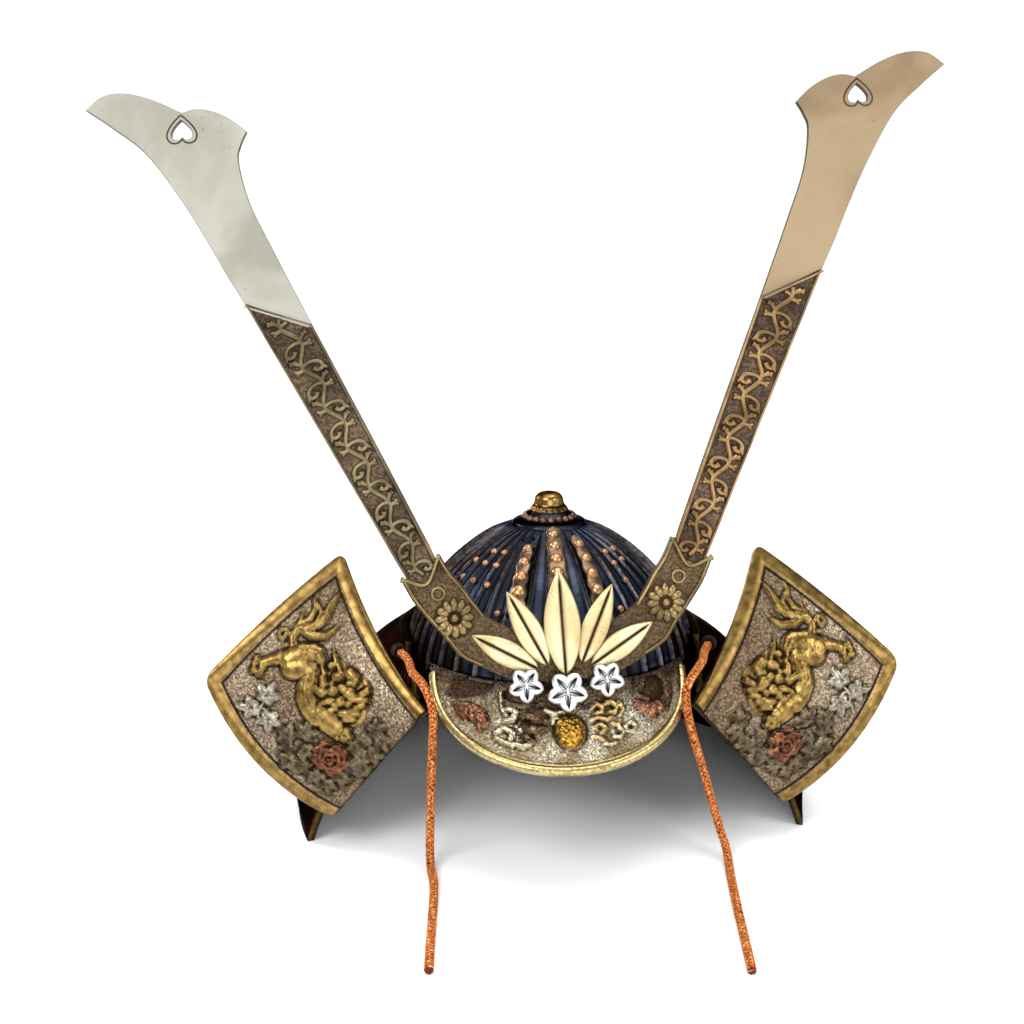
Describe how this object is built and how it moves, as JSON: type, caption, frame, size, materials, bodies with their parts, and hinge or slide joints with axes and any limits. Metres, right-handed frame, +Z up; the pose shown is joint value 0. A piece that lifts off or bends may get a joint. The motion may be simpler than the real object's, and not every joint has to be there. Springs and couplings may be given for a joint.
{
  "type": "kabuto helmet ornament",
  "caption": "Small cast-metal samurai helmet ornament with a ribbed bowl, turned-back plates, tall flat horns and orange braided cords.",
  "frame": {"origin": "centre of the footprint, without the cords, on the surface the helmet stands on", "axes": "+Z up, -Y towards the face, +X towards the viewer's right when the face is seen from the front"},
  "size_m": [0.2824, 0.2201, 0.2653],
  "materials": {
    "blue_black_metal": "blue-black patina with a satin sheen",
    "knob_brass": "aged brass, dark in the hollows",
    "dark_brown_metal": "dark brown patina, fluted",
    "visor_brass": "silvery brass, stippled, with a polished rolled edge",
    "plate_brass": "aged brass rim round a stippled bronze ground with raised relief",
    "base_brass": "brown brass, stippled, with raised borders",
    "pale_brass": "pale champagne brass with darkened grooves",
    "horn_metal": "pale satin metal with a few pits, gold scrolls on a brown ground below",
    "silver_metal": "bright silver plate, dark in the grooves",
    "orange_braid": "orange braid with dark and pale flecks"
  },
  "bodies": {
    "root": {"bowl": "blue_black_metal", "crown_knob": "knob_brass", "neck_guard": "dark_brown_metal", "visor": "visor_brass", "turnback_right": "plate_brass", "turnback_left": "plate_brass", "horn_base": "base_brass", "crest_post": "base_brass", "crest_leaves": "pale_brass", "horn_right": "horn_metal", "horn_left": "horn_metal", "flower_left": "silver_metal", "flower_centre": "silver_metal", "flower_right": "silver_metal", "cord_left": "orange_braid", "cord_eye_left": "knob_brass", "cord_right": "orange_braid", "cord_eye_right": "knob_brass"}
  },
  "joints": []
}
